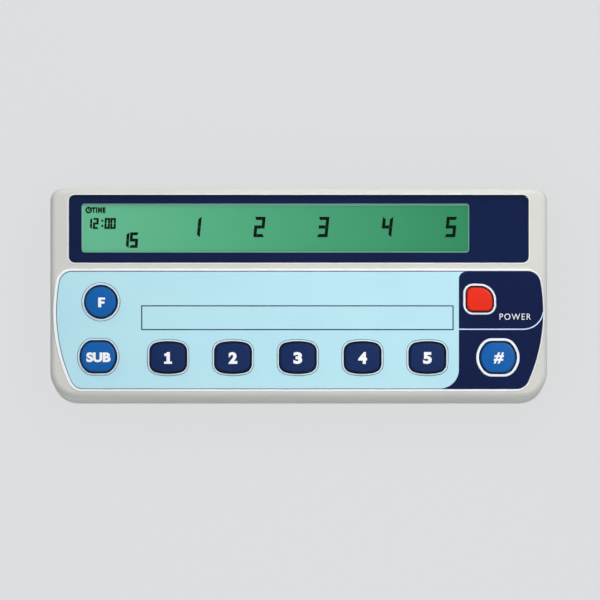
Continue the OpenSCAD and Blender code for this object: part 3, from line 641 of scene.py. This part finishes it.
def buildOverlay():
    holes = []
    for spot, shape, collar, *_ in layout.values():
        arcs = movedArcs(shapes[shape], spot)
        holes.append(grownArcs(arcs, collar + case["fit"]))
    outline = movedArcs(overlayArcs(), (overlay["shift"], 0))
    bm = bmesh.new()
    slab(bm, outline, holes, -overlay["film"], overlay["filmTop"], *overlay["filmRims"])
    makePiece("overlay_film", bm, finishes["navyPrint"], "case", ["keypad_overlay"])

    # light blue field: it stops at the navy zone, with one round corner and one flared one
    # a narrow border of the navy film shows round it and round its keys
    zone = {"edge": 67.6, "flare": 3.0, "round": 8.0, "border": 0.18, "keyBorder": 0.12,
            "low": -0.021, "high": -0.005, "rim": 0.004}
    border = zone["border"]
    low, high = overlay["v0"] + border, overlay["v1"] - border
    blue = [(zone["edge"] - zone["round"], low + zone["round"], zone["round"], -90, 0, 12),
            (zone["edge"] + zone["flare"], high - zone["flare"], zone["flare"], 180, 90, 8)]
    blue += grownArcs(outline[3:], -border)
    blueHoles = [grownArcs(hole, zone["keyBorder"]) for hole, key in zip(holes, layout)
                 if key not in navyZone]
    bm = bmesh.new()
    slab(bm, blue, blueHoles, zone["low"], zone["high"], zone["rim"], zone["rim"])
    makePiece("light_blue_field", bm, finishes["film"], "case")

    # printed frame for a label
    label = {"u0": -66.5, "u1": 65.4, "v0": -15.9, "v1": -5.4, "line": 0.48, "corner": 0.15,
             "innerCorner": 0.05, "low": -0.01, "rim": 0.002}
    size = (label["u1"] - label["u0"], label["v1"] - label["v0"])
    at = ((label["u0"] + label["u1"]) / 2, (label["v0"] + label["v1"]) / 2)
    outer = rectArcs(*size, label["corner"], at, 2)
    inner = rectArcs(size[0] - 2 * label["line"], size[1] - 2 * label["line"], label["innerCorner"], at, 2)
    bm = bmesh.new()
    slab(bm, outer, [inner], label["low"], 0.0, label["rim"], label["rim"])
    makePiece("label_frame", bm, finishes["inkLine"], "case")

    # pale line across the navy zone, which turns up at its right end
    line = {"v": -15.5, "u0": 67.7, "u1": 94.9, "turn": 8.4, "end": -8, "width": 0.5,
            "low": -0.021, "high": -0.003, "rim": 0.002}
    h = line["width"] / 2
    turnV = line["v"] + line["turn"]
    path = [(line["u0"], line["v"] + h, 0, 0, 0, 0), (line["u0"], line["v"] - h, 0, 0, 0, 0),
            (line["u1"], turnV, line["turn"] + h, -90, line["end"], 12),
            (line["u1"], turnV, line["turn"] - h, line["end"], -90, 12)]
    bm = bmesh.new()
    slab(bm, path, [], line["low"], line["high"], line["rim"])
    makePiece("pale_line", bm, finishes["paleLine"], "case")
    print("overlay printed")


def buildWindow():  # clear lens, and under it the mask print with the opening for the display
    gap = 0.01
    at = (0, window["v"] + window["fit"])
    top = -case["lipHeight"]
    lens = rectArcs(window["width"], window["depth"] + 2 * window["fit"], window["radius"], at, 8)
    bm = bmesh.new()
    slab(bm, lens, [], top - window["lens"], top, window["lensRim"])
    makePiece("lens_plate", bm, finishes["clear"], "case", ["window_lens"])
    maskTop = top - window["lens"] - gap
    outer = rectArcs(window["width"] - 2 * gap, window["depth"] + 2 * (window["fit"] - gap),
                     window["radius"], at, 8)
    opening = rectArcs(display["width"], display["depth"], display["corner"], (display["u"], display["v"]))
    bm = bmesh.new()
    slab(bm, outer, [opening], maskTop - window["mask"] + 2 * gap, maskTop, gap, gap)
    makePiece("mask_print", bm, finishes["mask"], "case", ["window_mask"])
    print("window and mask made")


words = {
    "power": {"text": "POWER", "size": (13.2, 2.6), "weight": -0.006, "spacing": 1.2,
              "at": (91.4, -10.2, -0.012), "thick": 0.008},
    "time": {"text": "TIME", "size": (5.8, 2.4), "weight": 0.075, "spacing": 1.25,
             "u": -84.6, "rise": 7.6},
    "legend": {"weight": 0.05, "hashWeight": 0.03, "hashLean": 0.2, "thick": 0.035},
}


# A word from the built-in font, brought to its real width and height.
def letters(text, size, weight, spacing=1.0, lean=0.0, thick=words["legend"]["thick"]):
    curve = bpy.data.curves.new("letters", "FONT")
    curve.body = text
    curve.offset = weight
    curve.space_character = spacing
    curve.resolution_u = 6
    holder = bpy.data.objects.new("letters", curve)
    bpy.context.scene.collection.objects.link(holder)
    bpy.context.view_layer.update()
    seen = holder.evaluated_get(bpy.context.evaluated_depsgraph_get())
    mesh = bpy.data.meshes.new_from_object(seen)
    bpy.data.objects.remove(holder)
    bm = bmesh.new()
    bm.from_mesh(mesh)
    bpy.data.meshes.remove(mesh)
    bmesh.ops.remove_doubles(bm, verts=bm.verts, dist=1e-5)
    xs = [v.co.x for v in bm.verts]
    ys = [v.co.y for v in bm.verts]
    centre = Vector(((max(xs) + min(xs)) / 2, (max(ys) + min(ys)) / 2, 0))
    bmesh.ops.translate(bm, verts=bm.verts, vec=-centre)
    stretch = (size[0] / (max(xs) - min(xs)), size[1] / (max(ys) - min(ys)), 1)
    bmesh.ops.scale(bm, verts=bm.verts, vec=stretch)
    for v in bm.verts:
        v.co.x += lean * v.co.y
    raiseFaces(bm, bm.faces[:], thick)
    return bm


def raiseFaces(bm, faces, thick):  # flat faces made as thick as ink
    up = bmesh.ops.extrude_face_region(bm, geom=faces)
    top = [g for g in up["geom"] if isinstance(g, bmesh.types.BMVert)]
    bmesh.ops.translate(bm, vec=(0, 0, thick), verts=top)


drawn = {  # the two narrow legends have a foot or arms that the font lacks, in shares of their size
    "1": [(-0.5, -0.5), (0.5, -0.5), (0.5, -0.3), (0.23, -0.3), (0.23, 0.5), (-0.12, 0.5),
          (-0.24, 0.4), (-0.48, 0.35), (-0.48, 0.17), (-0.2, 0.17), (-0.2, -0.3), (-0.5, -0.3)],
    "F": [(-0.5, -0.5), (-0.06, -0.5), (-0.06, -0.13), (0.42, -0.13), (0.42, 0.09), (-0.06, 0.09),
          (-0.06, 0.28), (0.5, 0.28), (0.5, 0.5), (-0.5, 0.5)],
}


def cutLegend(text, size):
    style = words["legend"]
    if text == "#":
        return letters(text, size, style["hashWeight"], lean=style["hashLean"])
    if text not in drawn:
        return letters(text, size, style["weight"])
    bm = bmesh.new()
    face = bm.faces.new([bm.verts.new((x * size[0], y * size[1], 0)) for x, y in drawn[text]])
    face.normal_update()
    raiseFaces(bm, bmesh.ops.triangulate(bm, faces=[face])["faces"], style["thick"])
    return bm


def crownDrop(spot):  # how far a key's domed top has fallen at a place
    return spot.xy.length_squared / (2 * keys["crown"])


def buildKeys():
    flangeTop = -case["plate"] - keys["flangeGap"]
    flangeLow = flangeTop - keys["flangeThick"]
    roofLevel = keys["proud"] - keys["wall"] - keys["roof"]
    stemLow = domeTop + keys["stemGap"]
    for name, (spot, shape, _, finish, legend, size, shift) in layout.items():
        arcs = shapes[shape]
        bm = bmesh.new()
        low = loop = trace(bm, arcs, keys["flange"], flangeLow)
        for grow, z in ((keys["flange"], flangeTop), (0, flangeTop)):
            loop = bridge(bm, loop, trace(bm, arcs, grow, z))
        for inset, drop in rounding(keys["edge"], keys["edgeSteps"]):
            ring = trace(bm, arcs, -inset, keys["proud"] - drop)
            for v in vertsOf(ring):
                v.co.z -= crownDrop(v.co)
            loop = bridge(bm, loop, ring)
        for i in range(keys["crownRings"]):  # rings that climb the dome
            ring = trace(bm, arcs, -keys["edge"], 0)
            for v in vertsOf(ring):
                v.co.xy *= 1 - (i + 1) / (keys["crownRings"] + 1)
                v.co.z = keys["proud"] - crownDrop(v.co)
            loop = bridge(bm, loop, ring)
        fill(bm, loop)
        # hollow below, with a stem that stands on its dome
        inner = trace(bm, arcs, -keys["wall"], flangeLow)
        fill(bm, low, inner)
        roof = bridge(bm, inner, trace(bm, arcs, -keys["wall"], roofLevel))
        stem = trace(bm, circleArcs(keys["stem"]), 0, roofLevel)
        fill(bm, roof, stem)
        fill(bm, bridge(bm, stem, trace(bm, circleArcs(keys["stem"]), 0, stemLow)))
        bmesh.ops.translate(bm, verts=bm.verts, vec=(spot[0], spot[1], 0))
        makePiece(name + "_cap", bm, finishes[finish], name + "_body", [name])
        if legend:
            bm = cutLegend(legend, size)
            long = [e for e in bm.edges if e.calc_length() > keys["legendStep"]]
            bmesh.ops.subdivide_edges(bm, edges=long, cuts=2)
            bmesh.ops.translate(bm, verts=bm.verts, vec=(*shift, 0))
            for v in bm.verts:
                v.co.z += keys["proud"] - crownDrop(v.co) - keys["legendSunk"]
            bmesh.ops.translate(bm, verts=bm.verts, vec=(spot[0], spot[1], 0))
            makePiece(name + "_legend", bm, finishes["whiteInk"], name + "_body")
    word = words["power"]
    bm = letters(word["text"], word["size"], word["weight"], word["spacing"], thick=word["thick"])
    bmesh.ops.translate(bm, verts=bm.verts, vec=word["at"])
    makePiece("power_word", bm, finishes["whiteInk"], "case")
    print("keys made:", len(layout))


domes = {
    "board": 8.5,  # depth of the key board's top below the face
    "sheet": 1.0,
    "side": 29.0,
    "front": 4.3,
    "rear": 7.2,
    "bossHole": 2.5,
    # screw bosses that come up through the sheet: key pitches, shift, and rise from the number keys
    "bosses": [(-2.5, -0.3, 12), (-0.5, -0.4, 19), (1.5, -0.4, 19), (2.5, -0.4, 7.5)],
    "rise": 2.6,
    "top": 2.8,
    "waist": 3.0,
    "waistRise": 1.3,
    "base": 5.0,
    "cavity": 4.2,
    "roof": 2.4,
    "roofRise": 1.1,
    "steps": 40,
    "spare": 0.02,
}
domeTop = -domes["board"] + domes["sheet"] + domes["rise"]


def buildDomeMat():  # silicone sheet, and a dome under each key, built at rest; in the real pad it flattens as the key goes down
    numberV = layout["key_1"][0][1]
    bosses = [(pitches * keys["pitch"] + shift, numberV + rise) for pitches, shift, rise in domes["bosses"]]
    low, high = overlay["v0"] + domes["front"], overlay["v1"] - domes["rear"]
    holes = [circleArcs(domes["cavity"], spot[0]) for spot in layout.values()]
    holes += [circleArcs(domes["bossHole"], at) for at in bosses]
    level = domes["sheet"] - domes["board"]
    sheet = rectArcs(case["width"] - domes["side"], high - low, 0.05, (0, (low + high) / 2), 2)
    bm = bmesh.new()
    slab(bm, sheet, holes, -domes["board"], level, 0.04, 0.04)
    makePiece("dome_sheet", bm, finishes["silicone"], "case", ["dome_mat"])
    outline = [(0, domes["rise"]), (domes["top"], domes["rise"]), (domes["waist"], domes["waistRise"]),
               (domes["base"], 0), (domes["cavity"], 0), (domes["roof"], domes["roofRise"]),
               (0, domes["roofRise"])]
    for name, (spot, *_) in layout.items():
        bm = bmesh.new()
        dots = [bm.verts.new((x, 0, z)) for x, z in outline]
        lines = [bm.edges.new(pair) for pair in zip(dots, dots[1:])]
        bmesh.ops.spin(bm, geom=dots + lines, cent=(0, 0, 0), axis=(0, 0, 1), angle=2 * pi,
                       steps=domes["steps"], use_merge=True, use_duplicate=False)
        bmesh.ops.translate(bm, verts=bm.verts, vec=(spot[0], spot[1], level))
        piece = makePiece(name + "_dome", bm, finishes["silicone"], "case")
        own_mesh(piece)
    print("dome mat made")


# The bars go round from a at the top: b and c at the right, d below, e and f at the left. g is the
# middle one.
segments = {"0": "abcdef", "1": "bc", "2": "abdeg", "3": "abcdg", "4": "bcfg", "5": "acdfg"}
figures = {
    "counts": {"width": 4.4, "height": 8.6, "stroke": 1.33, "slant": 0.1, "rise": 0.45,
               "row": [(str(i + 1), 27.0 * (i - 2) + 10.4) for i in range(5)]},
    "clock": {"width": 2.3, "height": 4.65, "stroke": 0.86, "slant": 0.04, "rise": 1.93,
              "row": [("1", -88.5), ("2", -85.8), ("0", -80.95), ("0", -78.5)]},
    "total": {"width": 3.45, "height": 6.55, "stroke": 1.2, "slant": 0.06, "rise": -5.1,
              "row": [("1", -73.45), ("5", -69.7)]},
}
marks = {
    "thick": 0.02,
    "rim": 0.005,
    "colon": {"radius": 0.48, "u": -83.05, "rises": (0.9, 3.1)},
    "dial": {"u": -88.8, "rise": 7.6, "outer": 1.4, "inner": 0.75},
    "hands": [(0, -0.2), (0.25, -0.35), (0.85, 0.1), (0.6, 0.3), (0.2, 0.05), (0.2, 0.75),
              (-0.2, 0.75), (-0.2, -0.1)],
}
paleEdge = {"left": 0.65, "right": 0.42, "rear": 0.85, "front": 0.42, "corner": 1.0,
            "under": 0.6, "underCorner": 1.2, "low": 0.01, "high": 0.06, "round": 0.02}


def addBar(bm, spots, level):
    face = bm.faces.new([bm.verts.new((x, y, level)) for x, y in spots])
    face.normal_update()
    if face.normal.z < 0:
        face.normal_flip()
    raiseFaces(bm, [face], marks["thick"])


def addFigure(bm, figure, at, style, level):
    lit = segments[figure]
    h = style["stroke"] / 2
    x = style["width"] / 2 - h
    y = style["height"] / 2 - h
    nick = 0.05  # half the gap where two upright bars meet
    gap = 0.02
    past = 0.6  # share of half a stroke that a flat bar reaches past its corner where no upright is lit
    slope = 0.5
    before = set(bm.verts)
    for bar, other, side, way, flat in (("b", "c", 1, 1, "a"), ("c", "b", 1, -1, "d"),
                                        ("e", "f", -1, -1, "d"), ("f", "e", -1, 1, "a")):
        if bar in lit:  # covers the corner, and is cut on the slant where no flat bar meets it
            waist = nick if other in lit else -h
            top = h if flat in lit else -h * slope
            addBar(bm, [(side * (x - h), way * waist), (side * (x + h), way * waist),
                        (side * (x + h), way * (y + h)), (side * (x - h), way * (y + top))], level)
    for bar, rise, left, right in (("a", y, "f", "b"), ("d", -y, "e", "c"), ("g", 0, "ef", "bc")):
        if bar in lit:
            ends = []
            for side, near in ((-1, left), (1, right)):
                met = any(n in lit for n in near)
                reach = x - h - gap if met else x + h * past
                cut = 0 if met or bar == "g" else h * slope
                ends.append((side * (reach + cut), side * (reach - cut)))
            lean = 1 if rise >= 0 else -1
            addBar(bm, [(ends[0][0], rise + lean * h), (ends[0][1], rise - lean * h),
                        (ends[1][1], rise - lean * h), (ends[1][0], rise + lean * h)], level)
    for v in [v for v in bm.verts if v not in before]:
        v.co.x += style["slant"] * v.co.y + at[0]
        v.co.y += at[1]


def buildDisplay():
    at = (display["u"], display["v"])
    top = -case["plate"] - display["gap"]
    wider, deeper = display["border"]
    panel = rectArcs(display["width"] + wider, display["depth"] + deeper, display["cut"], at)
    bm = bmesh.new()
    slab(bm, panel, [], top - 2 * display["glass"], top, 0.1)
    makePiece("display_glass", bm, finishes["display"], "case", ["lcd_panel"])

    # pale edge of the viewing area, just behind the mask: a painted highlight that glows
    rim = paleEdge
    outer = rectArcs(display["width"] + rim["under"], display["depth"] + rim["under"],
                     rim["underCorner"], at)
    inner = rectArcs(display["width"] - rim["left"] - rim["right"],
                     display["depth"] - rim["rear"] - rim["front"], rim["corner"],
                     (at[0] + (rim["left"] - rim["right"]) / 2, at[1] + (rim["front"] - rim["rear"]) / 2))
    bm = bmesh.new()
    slab(bm, outer, [inner], top + rim["low"], top + rim["high"], rim["round"], rim["round"])
    makePiece("display_edge", bm, finishes["displayEdgeHighlight"], "case")

    # figures and colon, dark on the glass
    level = top + marks["thick"]
    bm = bmesh.new()
    for style in figures.values():
        for figure, u in style["row"]:
            addFigure(bm, figure, (u, display["v"] + style["rise"]), style, level)
    colon = marks["colon"]
    for rise in colon["rises"]:
        dot = circleArcs(colon["radius"], (colon["u"], display["v"] + rise), 16)
        slab(bm, dot, [], level, level + marks["thick"], marks["rim"])
    makePiece("display_figures", bm, finishes["segment"], "case")
    word = words["time"]
    bm = letters(word["text"], word["size"], word["weight"], word["spacing"])
    bmesh.ops.translate(bm, verts=bm.verts, vec=(word["u"], display["v"] + word["rise"], level))
    makePiece("time_word", bm, finishes["segment"], "case")

    # small clock dial with two hands
    dial = (marks["dial"]["u"], display["v"] + marks["dial"]["rise"])
    ring = [circleArcs(marks["dial"][side], dial, 32) for side in ("outer", "inner")]
    bm = bmesh.new()
    slab(bm, ring[0], [ring[1]], level, level + marks["thick"], marks["rim"], marks["rim"])
    addBar(bm, [(dial[0] + x, dial[1] + y) for x, y in marks["hands"]], level)
    makePiece("clock_mark", bm, finishes["segment"], "case")
    print("display made")


buildTopCase()
buildBead()
buildLip()
buildCollars()
buildOverlay()
buildWindow()
buildDisplay()
buildDomeMat()
buildKeys()

# CAD nodes that keep their own mesh, each with its finish
carried = {
    "bottom_case": "case", "battery_door": "case", "lcd_frame": "framePlastic", "light_guide": "guide",
    "backlight_leds": "led", "connector_strips": "elastomer", "display_board": "board",
    "key_board": "board", "flex_cable": "flex", "controller_chip": "epoxy",
    "display_driver": "epoxy", "board_capacitors": "can", "buzzer": "epoxy", "battery_1": "jacket",
    "battery_2": "jacket", "battery_3": "jacket", "battery_4": "jacket", "terminal_contacts": "plated",
    "bridge_contact": "plated", "battery_springs": "plated", "battery_leads": "lead",
    "case_screws": "zinc", "board_screws": "zinc", "rubber_feet": "rubber",
}
for nodeName, finish in carried.items():
    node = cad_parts[nodeName]
    node.data.materials.clear()
    node.data.materials.append(finishes[finish])
print("carried nodes finished:", len(carried))


# Matt painted board. The camera sees it nearly even, with a painted shadow only under the object and close
# to it, and its colour is painted darker round the object, so it throws less light back onto the object's
# walls.
def buildStage():
    settings = {
        "colour": "#DDDEE0",
        "evenness": 0.97,
        "roughness": 0.9,
        "specular": 0.1,
        "foot": 30.0,  # millimetres over which painted shade darkens the floor round the object
        "footLow": 0.62,
        "footSamples": 12,
        "contact": 2.5,  # the same for the painted contact shadow right at its edge
        "contactRange": (0.4, 0.7),
        "contactSamples": 8,
        "underRange": (0.02, 0.14),  # open sky left below the object, over which its painted shadow fades
        "size": 6.0,
    }
    floor = blankMaterial("matt painted board")
    wide = addNode(floor, "ShaderNodeAmbientOcclusion",
                   {"Distance": settings["foot"] * mm, "samples": settings["footSamples"]})
    foot = addNode(floor, "ShaderNodeMapRange", {"From Min": settings["footLow"]},
                   {"Value": wide.outputs["AO"]})
    tint = addNode(floor, "ShaderNodeValToRGB", {}, {"Fac": foot.outputs["Result"]})
    tint.color_ramp.elements[1].color = linear(settings["colour"])
    shaded = addNode(floor, "ShaderNodeBsdfPrincipled",
                     {"Roughness": settings["roughness"], "Specular IOR Level": settings["specular"]},
                     {"Base Color": tint.outputs["Color"]})
    close = addNode(floor, "ShaderNodeAmbientOcclusion",
                    {"Distance": settings["contact"] * mm, "samples": settings["contactSamples"]})
    near, below = [addNode(floor, "ShaderNodeMapRange",
                           {"interpolation_type": "SMOOTHSTEP", "From Min": low, "From Max": high},
                           {"Value": shade.outputs["AO"]})
                   for shade, (low, high) in ((close, settings["contactRange"]),
                                              (wide, settings["underRange"]))]
    dark = addNode(floor, "ShaderNodeMath", {"operation": "MULTIPLY"},
                   {0: near.outputs["Result"], 1: below.outputs["Result"]})
    even = addNode(floor, "ShaderNodeEmission", {"Color": linear(settings["colour"])},
                   {"Strength": dark.outputs[0]})
    ray = addNode(floor, "ShaderNodeLightPath")
    seen = addNode(floor, "ShaderNodeMath", {"operation": "ADD"},
                   {0: ray.outputs["Is Camera Ray"], 1: ray.outputs["Is Glossy Ray"]})
    seen = addNode(floor, "ShaderNodeMath", {"operation": "ADD", "use_clamp": True},
                   {0: seen.outputs[0], 1: ray.outputs["Is Transmission Ray"]})
    share = addNode(floor, "ShaderNodeMath", {"operation": "MULTIPLY", 1: settings["evenness"]},
                    {0: seen.outputs[0]})
    both = addNode(floor, "ShaderNodeMixShader", {},
                   {0: share.outputs[0], 1: shaded.outputs["BSDF"], 2: even.outputs["Emission"]})
    addNode(floor, "ShaderNodeOutputMaterial", {}, {"Surface": both.outputs["Shader"]})
    bm = bmesh.new()
    bmesh.ops.create_grid(bm, x_segments=1, y_segments=1, size=settings["size"])
    mesh = bpy.data.meshes.new("floor")
    bm.to_mesh(mesh)
    bm.free()
    mesh.materials.append(floor)
    ground = bpy.data.objects.new("floor", mesh)
    bpy.context.scene.collection.objects.link(ground)


lighting = {  # place in metres, width, watts, and whether it shows in glossy surfaces
    "right soft box": ((0.8, 0.3, 1.5), 0.6, 8.0, True),
    "rear soft box": ((0.1, 0.29, 0.36), 0.16, 1.15, False),
    "front soft box": ((0.02, -0.34, 0.37), 0.16, 0.84, False),
    "left soft box": ((-0.8, 0.7, 0.4), 0.4, 2.9, False),
}
sky = {"colour": (0.9, 0.95, 1, 1), "strength": 0.2}


def addLamp(name, at, size, power, glossy):
    lamp = bpy.data.lights.new(name, "AREA")
    lamp.shape = "DISK"
    lamp.size = size
    lamp.energy = power
    holder = bpy.data.objects.new(name, lamp)
    bpy.context.scene.collection.objects.link(holder)
    holder.location = at
    holder.rotation_mode = "QUATERNION"
    holder.rotation_quaternion = Vector(at).to_track_quat("Z", "Y")
    holder.visible_glossy = glossy


def buildLight():
    for name, lamp in lighting.items():
        addLamp(name, *lamp)
    world = bpy.data.worlds.new("studio")
    bpy.context.scene.world = world
    world.use_nodes = True
    background = world.node_tree.nodes["Background"]
    background.inputs["Color"].default_value = sky["colour"]
    background.inputs["Strength"].default_value = sky["strength"]
    print("lamps placed:", len(lighting))


shot = {
    "distance": 1.6,
    "pixel": 0.4221,  # millimetres of the face to a pixel
    "frame": 600,
    "aim": (0.55, -3.16),
    "sensor": 36.0,
    "clip": 20,
}


def buildCamera():
    data = bpy.data.cameras.new("camera")
    data.sensor_width = shot["sensor"]
    data.lens = shot["sensor"] * shot["distance"] / (shot["frame"] * shot["pixel"] * mm)
    data.clip_end = shot["clip"]
    camera = bpy.data.objects.new("camera", data)
    bpy.context.scene.collection.objects.link(camera)
    aim = faceMatrix @ Vector((*shot["aim"], 0))
    camera.location = aim + faceNormal * shot["distance"]
    camera.rotation_euler = (radians(case["tilt"]), 0, 0)
    bpy.context.scene.camera = camera


buildStage()
buildLight()
buildCamera()
bpy.context.scene.view_settings.view_transform = "Standard"
